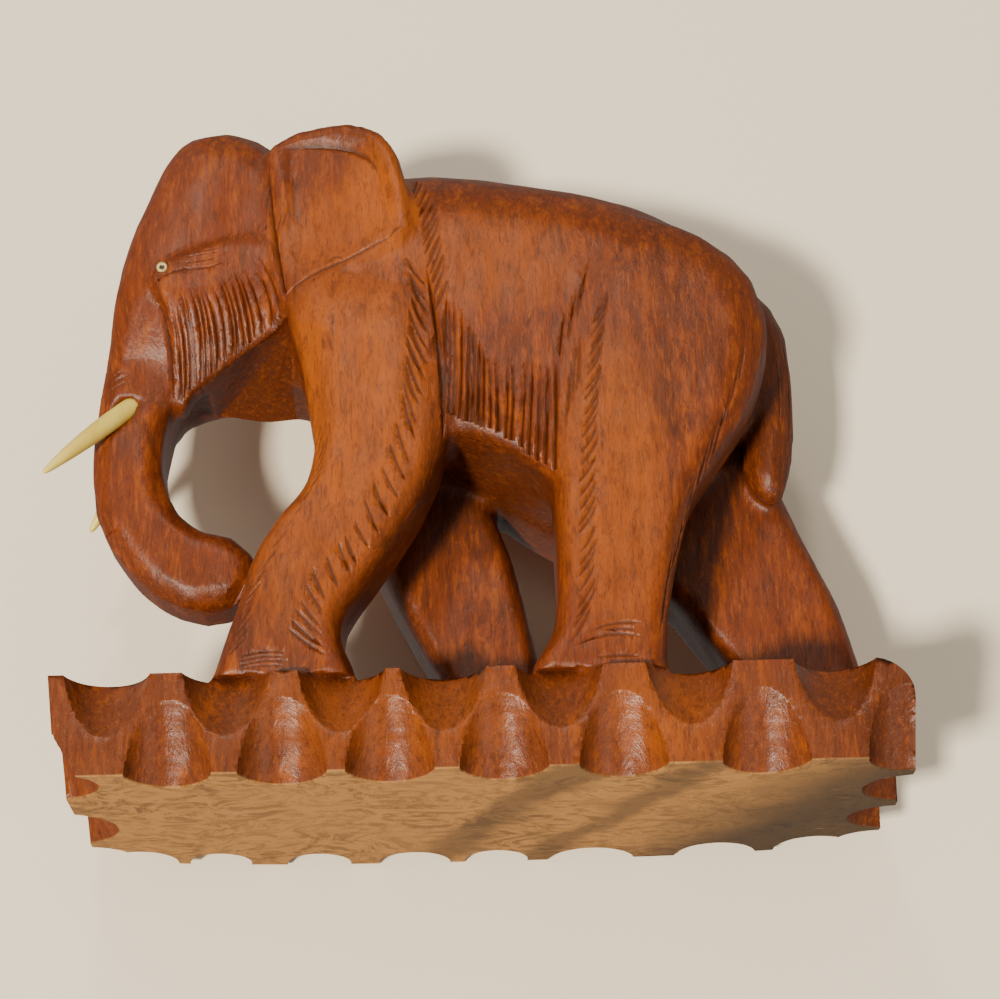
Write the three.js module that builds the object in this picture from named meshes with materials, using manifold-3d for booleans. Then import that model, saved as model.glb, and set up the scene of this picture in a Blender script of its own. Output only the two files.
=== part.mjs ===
// Wooden elephant carving: an elephant walking on a gouged base, cut from one block of wood,
// with two tusks and two eyes let into it as pieces of their own.
// Millimetres, +Z up. The elephant faces -X, its left side is -Y, and the origin is the middle
// of the base's underside.

import * as THREE from 'three';
import { edgeTable, triTable } from 'three/addons/objects/MarchingCubes.js';
import { mergeVertices } from 'three/addons/utils/BufferGeometryUtils.js';
import Module from 'manifold-3d';

const wasm = await Module();
wasm.setup();

// Driving dimensions
const figureHeight = 245; // crown of the head above the top of the base
const legsDepth = 98; // over the outer faces of the left and right legs
const legGap = 18; // between the left and the right legs
const toeMargin = 56; // base in front of the front foot
const heelMargin = 3; // base behind the hind foot
const leftLedge = 7; // base outside the left legs
const rightLedge = 6; // base outside the right legs at the corners
const rightBow = 16; // how far the right side, left as the log grew, bows out between the corners
const baseHeight = 37.5;
const endLean = 4; // how far the head end of the base leans out at its top
const tailEndRadius = 15; // rounding of the base's top edge at the tail end
const footUndercut = 2; // how far the upper gouge cuts run up into the feet

const gougeRadius = 15.5;
const gougeTilt = THREE.MathUtils.degToRad(30);
const lowerCutRise = 27; // height of the cuts made from below
const upperCutDrop = 23; // depth of the cuts made from above

const tuskRadius = 3.9;
const tuskTipRadius = 1;
const leftTuskReach = 47; // lengths in the side view, sockets included
const rightTuskReach = 41.5;
const leftTuskSlope = THREE.MathUtils.degToRad(48.5);
const rightTuskSlope = THREE.MathUtils.degToRad(58);
const tuskSplay = 16; // how far the tip stands out past the root
const eyeRadius = 2.3;
const eyeThickness = 2.6;
const eyeStandsProud = 0.6;
const pupilRadius = 0.75;
const inlayClearance = 0.3;

const carvingGrid = 2.5; // spacing at which the rounded forms are worked out
const carvingTriangles = 6400;

// The figure is drawn at its own height, in side view as [x, z] from the level of its feet,
// and every drawn value is a share of that height.
const drawnHeight = 245;
const drawnFrontFoot = -99;
const drawnHindFoot = 149;
const unit = figureHeight / drawnHeight;

const baseFront = drawnFrontFoot * unit - toeMargin;
const baseBack = drawnHindFoot * unit + heelMargin;
const baseLength = baseBack - baseFront;
const figureShift = -(baseFront + baseBack) / 2;
const legsOuter = legsDepth / 2;
const leftFace = legsOuter + leftLedge;
const rightCorner = legsOuter + rightLedge;
const cornerRadius = 24; // rounding of the base's two right-hand corners, seen from above

// Side-view outlines
const torsoOutline = [
  [-72, 198], [-52, 214], [-27, 221], [-1, 220.5], [23, 216.5], [47, 211.5], [68, 204.5], [87, 195],
  [101, 183], [110, 170], [114.5, 156], [113, 140], [108, 122], [100, 108], [86, 96], [62, 86],
  [44, 81], [28, 80], [10, 91], [-12, 100], [-34, 103], [-48, 106], [-58, 120], [-64, 145], [-76, 172],
];
const leftForelegOutline = [
  [-73, 154], [-67, 128], [-64, 108], [-62, 92], [-66, 77], [-76, 64], [-85, 48], [-90, 30],
  [-96, 12], [-100, -1], [-101, -12], [-46, -12], [-47, 3], [-52, 17], [-51, 26], [-42, 40],
  [-31, 56], [-20, 75], [-13, 94], [-12, 116], [-13, 148], [-16, 176], [-26, 194], [-44, 202],
  [-62, 192], [-72, 174],
];
const leftHindlegOutline = [
  [44, 170], [37, 152], [32, 124], [28.5, 96], [27, 62], [27, 30], [24, 16], [18, 6], [15, -2],
  [14, -12], [67, -12], [66, 6], [67, 21], [70, 36], [74, 54], [80, 72], [90, 87], [101, 104],
  [108, 122], [112, 142], [106, 164], [92, 180], [72, 188], [54, 184],
];
const rightForelegOutline = [
  [-53, 138], [-52, 112], [-48, 87], [-39, 64], [-29, 42], [-20, 26], [-12, 8], [-9, -12],
  [28, -12], [25, 8], [21, 30], [17, 50], [12, 70], [4, 92], [-6, 112], [-10, 138], [-16, 168],
  [-30, 188], [-44, 186], [-52, 166],
];
const rightHindlegOutline = [
  [14, 98], [31, 78], [54, 64], [74, 51], [84, 37], [93, 25], [101, 8], [105, -12], [151, -12],
  [149, 5], [145, 24], [139, 47], [130, 69], [121, 93], [113, 118], [107, 148], [92, 176],
  [66, 184], [42, 170], [26, 140],
];
const tailOutline = [
  [108, 180], [117, 174], [124, 161], [126, 146], [126, 128], [125, 110], [122, 95], [117, 84],
  [110, 86], [104, 98], [106, 122], [107, 152],
];
const neckOutline = [
  [-94, 232], [-66, 225], [-42, 215], [-28, 196], [-34, 150], [-56, 134], [-74, 137], [-92, 150],
  [-102, 178],
];
const headOutline = [
  [-86, 241], [-98, 245.5], [-110, 244.5], [-119, 239], [-126.5, 226], [-132.5, 205], [-137.5, 184],
  [-140, 168], [-138, 154], [-126, 144], [-104, 141], [-82, 150], [-66, 170], [-62, 200], [-74, 230],
];
const trunkOutline = [
  [-126, 210], [-135.5, 187], [-141.5, 160], [-147.5, 128], [-149.5, 104], [-147, 80], [-138, 63],
  [-124, 48], [-108, 41], [-94, 43], [-86, 51], [-86, 60], [-95, 70], [-108, 74], [-118, 84],
  [-122.5, 99], [-121, 117], [-112, 143], [-106, 178], [-113, 205],
];
const leftCheekOutline = [
  [-127, 172], [-121, 159], [-119, 145], [-117.5, 132], [-116.5, 121.5], [-114, 121.5], [-111, 128],
  [-101, 134.5], [-88, 142], [-72, 153], [-66, 168], [-76, 186], [-98, 188], [-116, 182],
];
const rightCheekOutline = [
  [-127, 172], [-123, 159], [-123, 145], [-123, 132], [-123, 122], [-119.5, 121.5], [-116, 128],
  [-104, 135], [-88, 142], [-72, 153], [-66, 168], [-76, 186], [-98, 188], [-116, 182],
];
const jawOutline = [
  [-123, 124], [-118, 129], [-110, 133], [-98, 133], [-91, 132], [-83, 130.5], [-73, 133],
  [-60, 140], [-54, 156], [-70, 172], [-104, 170], [-119, 150], [-124, 134],
];
const earOutline = [
  [-82, 225], [-74, 232], [-60, 235], [-47, 234], [-37, 229], [-30, 219], [-26, 204], [-24, 190],
  [-24, 182], [-32, 177], [-44, 169], [-56, 161], [-66, 152.5], [-71, 151], [-75, 162], [-79, 180],
  [-80, 205],
];

const drawn = (points) => points.map(([x, z]) => [x * unit + figureShift, z * unit + baseHeight]);
const lengthwise = (share) => share * unit + figureShift;
const upward = (share) => share * unit + baseHeight;

// Ramp from one value to another over a stretch of heights or lengths, level outside it
function ramp(at, from, to, fromValue, toValue) {
  return THREE.MathUtils.lerp(fromValue, toValue, THREE.MathUtils.smoothstep(at, from, to));
}

// Closed smooth curve through an outline's points, as [x, z] pairs
function closedLoop(outline) {
  const stepsPerPoint = 5;
  const points = drawn(outline).map(([x, z]) => new THREE.Vector3(x, 0, z));
  const curve = new THREE.CatmullRomCurve3(points, true, 'centripetal');
  return curve.getPoints(points.length * stepsPerPoint).map((point) => [point.x, point.z]);
}

// Distance in the side view from a closed loop, negative inside it
function loopDistance(loop, x, z) {
  let nearest = Infinity;
  let inside = false;
  for (let i = 1; i < loop.length; i += 1) {
    const [ax, az] = loop[i - 1];
    const [bx, bz] = loop[i];
    const along = ((x - ax) * (bx - ax) + (z - az) * (bz - az)) / ((bx - ax) ** 2 + (bz - az) ** 2 || 1);
    const t = THREE.MathUtils.clamp(along, 0, 1);
    nearest = Math.min(nearest, Math.hypot(x - ax - t * (bx - ax), z - az - t * (bz - az)));
    if (az > z !== bz > z && x < ax + ((z - az) / (bz - az)) * (bx - ax)) {
      inside = !inside;
    }
  }
  return inside ? -nearest : nearest;
}

// A carved form: an outline in side view, a middle and a half thickness across the body, and an
// edge worked off over `edge` in the side view and `sideEdge` across. A power of 2 rounds the
// edge, and a lower one leaves it nearer to a chamfer.
function carvedForm({ outline, middle = () => 0, half, edge, sideEdge = edge, power = 2 }) {
  const loop = closedLoop(outline);
  return (x, z) => {
    const edgeHere = edge(x, z) * unit;
    const halfHere = half(x, z);
    const sideEdgeHere = Math.min(sideEdge(x, z) * unit, halfHere);
    const middleHere = middle(x, z);
    const inPlane = loopDistance(loop, x, z) + edgeHere;
    return (y) => {
      const across = ((Math.abs(y - middleHere) - halfHere + sideEdgeHere) * edgeHere) / sideEdgeHere;
      const corner = (Math.max(inPlane, 0) ** power + Math.max(across, 0) ** power) ** (1 / power);
      return Math.min(Math.max(inPlane, across), 0) + corner - edgeHere;
    };
  };
}

// Union of two forms with a fillet of about `fillet` where they meet
function blend(a, b, fillet) {
  const reach = Math.max(fillet * unit - Math.abs(a - b), 0) / (fillet * unit);
  return Math.min(a, b) - (reach * reach * fillet * unit) / 4;
}

const always = (value) => () => value;

// Body
const torsoHalf = legsOuter - 3.5;
const torso = carvedForm({
  outline: torsoOutline,
  half: (x) => {
    const atRump = torsoHalf - ramp(x, lengthwise(60), lengthwise(118), 0, 6);
    return ramp(x, lengthwise(-76), lengthwise(-25), torsoHalf - 9, atRump);
  },
  edge: (x, z) => ramp(z, upward(88), upward(170), 7, 36),
  sideEdge: (x, z) => ramp(z, upward(88), upward(170), 6, 33),
});
const neck = carvedForm({
  outline: neckOutline,
  half: (x, z) => ramp(z, upward(142), upward(196), 21, 33) * unit,
  edge: (x, z) => ramp(z, upward(142), upward(196), 8, 15),
});
const tail = carvedForm({
  outline: tailOutline,
  middle: always(1.5 * unit),
  half: always(8.5 * unit),
  edge: always(8),
  power: 1.5,
});

// A leg stands on its own side of the gap, and its outer face leans in a little to the foot.
function leg(outline, side, shoulderLean) {
  const footOuter = legsOuter - 1.5;
  const lean = (z) => ramp(z, upward(135), upward(200), 0, shoulderLean);
  const outer = (z) => ramp(z, baseHeight, upward(110), footOuter, legsOuter) - lean(z);
  const inner = legGap / 2;
  return carvedForm({
    outline,
    middle: (x, z) => (side * (outer(z) + inner)) / 2,
    half: (x, z) => (outer(z) - inner) / 2,
    edge: (x, z) => ramp(z, upward(60), upward(150), 6, 17),
    sideEdge: (x, z) => ramp(z, upward(60), upward(150), 8, 9),
    power: 1.7,
  });
}

// Head
const headHalf = 31 * unit;
const head = carvedForm({
  outline: headOutline,
  half: (x, z) => ramp(z, upward(150), upward(178), headHalf - 6 * unit, headHalf),
  edge: (x, z) => ramp(z, upward(175), upward(235), 12, 22),
  sideEdge: (x, z) => ramp(z, upward(175), upward(235), 9, 17),
});
const trunkHalf = (x, z) => {
  const upper = ramp(z, upward(118), upward(165), 18.5, 26);
  return ramp(z, upward(35), upward(115), 14.5, upper) * unit;
};
const trunk = carvedForm({
  outline: trunkOutline,
  half: trunkHalf,
  edge: always(8),
  sideEdge: always(7),
  power: 1.5,
});
const jaw = carvedForm({ outline: jawOutline, half: always(21 * unit), edge: always(6) });

// A cheek plate stands proud of the jaw and closes in on the trunk towards its lower tip.
function cheek(outline, side) {
  const outer = (z) => ramp(z, upward(112), upward(168), 15, 35.5) * unit;
  const thickness = 13 * unit;
  return carvedForm({
    outline,
    middle: (x, z) => side * (outer(z) - thickness / 2),
    half: always(thickness / 2),
    edge: (x, z) => ramp(z, upward(165), upward(185), 2.5, 7),
    sideEdge: (x, z) => ramp(z, upward(165), upward(185), 2.5, 5),
  });
}

// An ear flares outwards from its front edge, and its outer face is dished inside a rolled rim.
function ear(side) {
  const thickness = 11 * unit;
  const dish = 2.6 * unit;
  const rim = 9 * unit;
  const flare = (x) => ramp(x, lengthwise(-84), lengthwise(-22), 38, 49) * unit;
  const outer = (x) => Math.min(flare(x), legsOuter);
  const loop = closedLoop(earOutline);
  const hollow = (x, z) => {
    const inset = -loopDistance(loop, x, z);
    const upperPart = ramp(z, upward(160), upward(185), 0.25, 1);
    return dish * upperPart * THREE.MathUtils.smoothstep(inset, rim * 0.55, rim * 1.15);
  };
  return carvedForm({
    outline: earOutline,
    middle: (x, z) => side * (outer(x) - thickness / 2 - hollow(x, z) / 2),
    half: (x, z) => thickness / 2 - hollow(x, z) / 2,
    edge: always(4),
  });
}

const legs = [
  leg(leftForelegOutline, -1, 10),
  leg(leftHindlegOutline, -1, 3),
  leg(rightForelegOutline, 1, 10),
  leg(rightHindlegOutline, 1, 3),
];
const cheeks = [cheek(leftCheekOutline, -1), cheek(rightCheekOutline, 1)];
const ears = [ear(-1), ear(1)];

// Distance from the whole figure along one column across the body, negative inside
function figureColumn(x, z) {
  const torsoAt = torso(x, z);
  const neckAt = neck(x, z);
  const tailAt = tail(x, z);
  const headAt = head(x, z);
  const trunkAt = trunk(x, z);
  const jawAt = jaw(x, z);
  const legsAt = legs.map((form) => form(x, z));
  const cheeksAt = cheeks.map((form) => form(x, z));
  const earsAt = ears.map((form) => form(x, z));
  return (y) => {
    let body = blend(torsoAt(y), neckAt(y), 16);
    body = legsAt.reduce((joined, at) => blend(joined, at(y), 7), body);
    body = blend(body, tailAt(y), 3);
    let face = blend(headAt(y), trunkAt(y), 9);
    face = blend(face, jawAt(y), 4);
    face = cheeksAt.reduce((joined, at) => blend(joined, at(y), 2), face);
    const whole = blend(body, face, 8);
    return earsAt.reduce((joined, at) => blend(joined, at(y), 2.5), whole);
  };
}

// Closed surface of the figure, stepped through a grid of cells and cut where the distance is zero
function figureSurface() {
  const margin = 2 * carvingGrid;
  const low = [lengthwise(-152) - margin, -legsOuter - 3 - margin, upward(-12) - margin];
  const high = [lengthwise(152) + margin, legsOuter + 3 + margin, upward(246) + margin];
  const count = low.map((value, axis) => Math.ceil((high[axis] - value) / carvingGrid) + 1);
  const [countX, countY, countZ] = count;
  const values = new Float64Array(countX * countY * countZ);
  const at = (i, j, k) => (k * countX + i) * countY + j;
  for (let k = 0; k < countZ; k += 1) {
    for (let i = 0; i < countX; i += 1) {
      const distance = figureColumn(low[0] + i * carvingGrid, low[2] + k * carvingGrid);
      for (let j = 0; j < countY; j += 1) {
        values[at(i, j, k)] = distance(low[1] + j * carvingGrid);
      }
    }
  }
  const corners = [[0, 0, 0], [1, 0, 0], [1, 1, 0], [0, 1, 0], [0, 0, 1], [1, 0, 1], [1, 1, 1], [0, 1, 1]];
  const edges = [
    [0, 1], [1, 2], [2, 3], [3, 0], [4, 5], [5, 6], [6, 7], [7, 4], [0, 4], [1, 5], [2, 6], [3, 7],
  ];
  const vertices = [];
  const triangles = [];
  const vertexOnEdge = new Map();
  const cornerPlace = (...cell) => cell.map((step, axis) => low[axis] + step * carvingGrid);

  function edgeVertex(cell, edge) {
    const [a, b] = edges[edge].map((corner) => corners[corner].map((step, axis) => cell[axis] + step));
    const indexA = at(...a);
    const indexB = at(...b);
    const key = Math.min(indexA, indexB) * values.length + Math.max(indexA, indexB);
    if (!vertexOnEdge.has(key)) {
      const nearEnd = 0.04; // keeps vertices off the grid points, so that no triangle has no area
      const crossing = values[indexA] / (values[indexA] - values[indexB]);
      const t = THREE.MathUtils.clamp(crossing, nearEnd, 1 - nearEnd);
      const placeA = cornerPlace(...a);
      const placeB = cornerPlace(...b);
      vertexOnEdge.set(key, vertices.length);
      vertices.push(placeA.map((value, axis) => value + t * (placeB[axis] - value)));
    }
    return vertexOnEdge.get(key);
  }

  for (let k = 0; k < countZ - 1; k += 1) {
    for (let i = 0; i < countX - 1; i += 1) {
      for (let j = 0; j < countY - 1; j += 1) {
        let pattern = 0;
        corners.forEach(([di, dj, dk], corner) => {
          if (values[at(i + di, j + dj, k + dk)] < 0) {
            pattern |= 1 << corner;
          }
        });
        if (edgeTable[pattern] === 0) {
          continue;
        }
        for (let slot = pattern * 16; triTable[slot] !== -1; slot += 3) {
          const cell = [i, j, k];
          triangles.push([2, 1, 0].map((offset) => edgeVertex(cell, triTable[slot + offset])));
        }
      }
    }
  }
  return { vertices, triangles };
}

// Fewer triangles on the same surface: the edge whose loss moves the surface least goes first
function reduceTriangles({ vertices, triangles }, target) {
  const position = vertices.map((vertex) => [...vertex]);
  const faces = triangles.map((face) => [...face]);
  const facesOf = position.map(() => new Set());
  const quadric = position.map(() => new Float64Array(10));
  const version = new Int32Array(position.length);
  let remaining = faces.length;

  const minus = (a, b) => [a[0] - b[0], a[1] - b[1], a[2] - b[2]];
  const dot = (a, b) => a[0] * b[0] + a[1] * b[1] + a[2] * b[2];
  const cross = (a, b) => [a[1] * b[2] - a[2] * b[1], a[2] * b[0] - a[0] * b[2], a[0] * b[1] - a[1] * b[0]];
  const faceCross = (a, b, c) => cross(minus(b, a), minus(c, a));

  faces.forEach((face, index) => {
    const [a, b, c] = face.map((vertex) => position[vertex]);
    const normal = faceCross(a, b, c);
    const doubleArea = Math.hypot(...normal) || 1;
    const [nx, ny, nz] = normal.map((value) => value / doubleArea);
    const offset = -(nx * a[0] + ny * a[1] + nz * a[2]);
    const plane = [nx, ny, nz, offset];
    const terms = plane.flatMap((value, i) => plane.slice(i).map((other) => value * other));
    face.forEach((vertex) => {
      facesOf[vertex].add(index);
      terms.forEach((term, slot) => {
        quadric[vertex][slot] += term * doubleArea;
      });
    });
  });

  function surfaceError(q, [x, y, z]) {
    return q[0] * x * x + 2 * q[1] * x * y + 2 * q[2] * x * z + 2 * q[3] * x + q[4] * y * y
      + 2 * q[5] * y * z + 2 * q[6] * y + q[7] * z * z + 2 * q[8] * z + q[9];
  }

  function bestPlace(q, a, b) {
    const middle = a.map((value, axis) => (value + b[axis]) / 2);
    const matrix = new THREE.Matrix3().set(q[0], q[1], q[2], q[1], q[4], q[5], q[2], q[5], q[7]);
    const flatness = Math.abs(matrix.determinant()) / (q[0] + q[4] + q[7]) ** 3;
    const choices = [middle, a, b];
    if (flatness > 1e-5) {
      const solved = new THREE.Vector3(-q[3], -q[6], -q[8]).applyMatrix3(matrix.invert()).toArray();
      if (Math.hypot(...minus(solved, middle)) < 1.5 * Math.hypot(...minus(a, b))) {
        choices.push(solved);
      }
    }
    const errors = choices.map((choice) => surfaceError(q, choice));
    const least = errors.indexOf(Math.min(...errors));
    return { place: choices[least], error: Math.max(errors[least], 0) };
  }

  const heap = [];
  const before = (a, b) => a.cost < b.cost;
  function push(item) {
    heap.push(item);
    let child = heap.length - 1;
    while (child > 0) {
      const parent = (child - 1) >> 1;
      if (!before(heap[child], heap[parent])) {
        break;
      }
      [heap[child], heap[parent]] = [heap[parent], heap[child]];
      child = parent;
    }
  }
  function pop() {
    const top = heap[0];
    const last = heap.pop();
    if (heap.length > 0) {
      heap[0] = last;
      let parent = 0;
      for (;;) {
        const left = 2 * parent + 1;
        const right = left + 1;
        let least = parent;
        if (left < heap.length && before(heap[left], heap[least])) {
          least = left;
        }
        if (right < heap.length && before(heap[right], heap[least])) {
          least = right;
        }
        if (least === parent) {
          break;
        }
        [heap[least], heap[parent]] = [heap[parent], heap[least]];
        parent = least;
      }
    }
    return top;
  }

  function offer(a, b) {
    const sum = quadric[a].map((value, slot) => value + quadric[b][slot]);
    const { place, error } = bestPlace(sum, position[a], position[b]);
    const lengthPenalty = 1e-4 * Math.hypot(...minus(position[a], position[b])) ** 2;
    push({ cost: error + lengthPenalty, a, b, place, stamp: version[a] + version[b] });
  }

  function neighbours(vertex) {
    const found = new Set();
    facesOf[vertex].forEach((index) => faces[index].forEach((other) => found.add(other)));
    found.delete(vertex);
    return found;
  }

  // A collapse is refused where it would pinch the surface, turn a triangle over or flatten one
  function keepsSurface(a, b, place) {
    const shared = [...neighbours(a)].filter((vertex) => neighbours(b).has(vertex));
    if (shared.length !== 2) {
      return false;
    }
    return [a, b].every((moved) => [...facesOf[moved]].every((index) => {
      const face = faces[index];
      if (face.includes(a) && face.includes(b)) {
        return true;
      }
      const corners = face.map((vertex) => (vertex === moved ? place : position[vertex]));
      const old = faceCross(...face.map((vertex) => position[vertex]));
      const next = faceCross(...corners);
      const nextSize = Math.hypot(...next);
      const sides = corners.map((corner, i) => Math.hypot(...minus(corner, corners[(i + 1) % 3])));
      const longest = Math.max(...sides);
      return dot(old, next) > 0.35 * Math.hypot(...old) * nextSize && nextSize > 0.08 * longest * longest;
    }));
  }

  faces.forEach((face) => {
    face.forEach((a, i) => {
      const b = face[(i + 1) % 3];
      if (a < b) {
        offer(a, b);
      }
    });
  });

  while (remaining > target && heap.length > 0) {
    const { a, b, place, stamp } = pop();
    const stale = facesOf[a].size === 0 || facesOf[b].size === 0 || stamp !== version[a] + version[b];
    if (stale || !keepsSurface(a, b, place)) {
      continue;
    }
    position[a] = place;
    quadric[b].forEach((value, slot) => {
      quadric[a][slot] += value;
    });
    [...facesOf[b]].forEach((index) => {
      const face = faces[index];
      if (face.includes(a)) {
        face.forEach((vertex) => facesOf[vertex].delete(index));
        faces[index] = null;
        remaining -= 1;
      } else {
        face[face.indexOf(b)] = a;
        facesOf[a].add(index);
      }
    });
    facesOf[b].clear();
    version[a] += 1;
    neighbours(a).forEach((vertex) => offer(a, vertex));
  }
  return { vertices: position, triangles: faces.filter((face) => face !== null) };
}

function indexedGeometry({ vertices, triangles }) {
  const geometry = new THREE.BufferGeometry();
  geometry.setAttribute('position', new THREE.Float32BufferAttribute(vertices.flat(), 3));
  geometry.setIndex(triangles.flat());
  return geometry;
}

// Joining and cutting
function toSolid(geometry) {
  const bare = geometry.clone();
  bare.deleteAttribute('normal');
  bare.deleteAttribute('uv');
  const merged = mergeVertices(bare, 1e-4);
  const vertProperties = new Float32Array(merged.attributes.position.array);
  const triVerts = new Uint32Array(merged.index.array);
  return new wasm.Manifold(new wasm.Mesh({ numProp: 3, vertProperties, triVerts }));
}

function toGeometry(solid) {
  const { vertProperties, triVerts } = solid.getMesh();
  const geometry = new THREE.BufferGeometry();
  geometry.setAttribute('position', new THREE.BufferAttribute(vertProperties, 3));
  geometry.setIndex(new THREE.BufferAttribute(triVerts, 1));
  return geometry;
}

// Base: a slab whose left side is straight and whose right side bows out, with a lean at the
// head end and a rounded top edge at the tail end
function baseSlab() {
  const left = -baseLength / 2;
  const right = baseLength / 2;
  const straight = { bevelEnabled: false, curveSegments: 5 };
  const plan = new THREE.Shape();
  plan.moveTo(left - endLean, -leftFace);
  plan.lineTo(right, -leftFace);
  plan.lineTo(right, rightCorner - cornerRadius);
  const bowEnd = right - cornerRadius;
  plan.quadraticCurveTo(right, rightCorner, bowEnd, rightCorner + rightBowAt(bowEnd));
  const steps = 14;
  for (let step = 1; step <= steps; step += 1) {
    const x = THREE.MathUtils.lerp(bowEnd, -bowEnd, step / steps);
    plan.lineTo(x, rightCorner + rightBowAt(x));
  }
  plan.quadraticCurveTo(left - endLean, rightCorner, left - endLean, rightCorner - cornerRadius);
  plan.closePath();
  const planSolid = toSolid(new THREE.ExtrudeGeometry(plan, { ...straight, depth: baseHeight }));

  const sideView = new THREE.Shape();
  sideView.moveTo(left + endLean, 0);
  sideView.lineTo(right, 0);
  sideView.lineTo(right, baseHeight - tailEndRadius);
  const cornerUp = baseHeight - tailEndRadius;
  sideView.absarc(right - tailEndRadius, cornerUp, tailEndRadius, 0, Math.PI / 2, false);
  sideView.lineTo(left, baseHeight);
  sideView.closePath();
  const across = 4 * (leftFace + rightCorner);
  const sideGeometry = new THREE.ExtrudeGeometry(sideView, { ...straight, depth: across });
  return planSolid.intersect(toSolid(sideGeometry.rotateX(Math.PI / 2).translate(0, across / 2, 0)));
}

function rightBowAt(x) {
  const share = Math.min(Math.abs(x) / (baseLength / 2), 1);
  return rightBow * (1 - share ** 3);
}

// One gouge cut into a face: a leaning cylinder whose inner line meets the face `reach` from the
// edge it is cut from, and lies deepest at that edge. The face looks along -Y before it is turned.
function gougeCut({ along, width, fromAbove, turn, faceOut }) {
  const radius = gougeRadius * width;
  const reach = fromAbove ? upperCutDrop : lowerCutRise;
  const tall = 3 * (reach + gougeRadius);
  const cylinder = new THREE.CylinderGeometry(radius, radius, tall, 22);
  cylinder.rotateX(Math.PI / 2 + (fromAbove ? -gougeTilt : gougeTilt));
  cylinder.translate(along, -faceOut - radius / Math.cos(gougeTilt), fromAbove ? baseHeight - reach : reach);
  return toSolid(cylinder.rotateZ(turn));
}

// Rows of cuts as [place, width]: places are shares of half the face's length, from the head to
// the tail or from the left to the right, and widths are shares of the gouge's own
const headToTail = baseLength / 2;
const leftToRight = (leftFace + rightCorner) / 2;
const faceRows = [
  {
    lower: [[-0.72, 0.97], [-0.46, 1], [-0.215, 1], [0.045, 1], [0.318, 1], [0.645, 1], [0.975, 0.95]],
    upper: [
      [-0.865, 0.98], [-0.59, 1.02], [-0.325, 1.02], [-0.09, 1], [0.178, 1.02], [0.48, 1.02],
      [0.818, 0.95],
    ],
    placing: (place) => ({ turn: 0, along: place * headToTail, faceOut: leftFace }),
  },
  {
    lower: [
      [-0.87, 0.9], [-0.67, 0.75], [-0.42, 0.78], [-0.175, 0.88], [0.035, 0.78], [0.28, 1.1],
      [0.6, 1.02], [0.85, 1],
    ],
    upper: [
      [-0.77, 0.95], [-0.545, 0.85], [-0.3, 0.9], [-0.07, 0.85], [0.155, 0.95], [0.44, 1.05],
      [0.73, 1],
    ],
    placing: (place) => ({
      turn: Math.PI, along: -place * headToTail, faceOut: rightCorner + rightBowAt(place * headToTail),
    }),
  },
  {
    lower: [[-0.79, 1], [0.2, 1.45], [0.93, 1]],
    upper: [[-0.22, 1.1], [0.55, 0.9]],
    placing: (place) => ({
      turn: -Math.PI / 2, along: -place * leftToRight, faceOut: (baseLength - endLean) / 2,
    }),
  },
  {
    lower: [[-0.33, 1.1], [0.36, 1], [0.95, 0.9]],
    upper: [],
    placing: (place) => ({ turn: Math.PI / 2, along: place * leftToRight, faceOut: baseLength / 2 }),
  },
];

function gougeCuts() {
  const cuts = faceRows.flatMap(({ lower, upper, placing }) => [
    ...lower.map(([place, width]) => gougeCut({ ...placing(place), width, fromAbove: false })),
    ...upper.map(([place, width]) => gougeCut({ ...placing(place), width, fromAbove: true })),
  ]);
  const ceiling = baseHeight + footUndercut;
  const reachBox = new THREE.BoxGeometry(2 * baseLength, 4 * leftToRight, ceiling + baseHeight);
  reachBox.translate(0, 0, (ceiling - baseHeight) / 2);
  return cuts.reduce((joined, cut) => joined.add(cut)).intersect(toSolid(reachBox));
}

// Tusks: a tapered sweep that leaves the side of the trunk and curves forwards, down and out
function tuskSolid(side, clearance) {
  const root = new THREE.Vector3(lengthwise(-133.5), side * 13.5 * unit, upward(126));
  const slope = side < 0 ? leftTuskSlope : rightTuskSlope;
  const reach = side < 0 ? leftTuskReach : rightTuskReach;
  const tip = new THREE.Vector3(
    root.x - reach * Math.cos(slope),
    root.y + side * tuskSplay,
    root.z - reach * Math.sin(slope),
  );
  const sag = new THREE.Vector3(-1.2, side * 4, -2.2);
  const bend = root.clone().lerp(tip, 0.5).add(sag);
  const path = new THREE.QuadraticBezierCurve3(root, bend, tip);
  const radiusAt = (t) => THREE.MathUtils.lerp(tuskRadius, tuskTipRadius, t ** 3) + clearance;
  return taperedSweep(path, radiusAt, clearance);
}

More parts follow.
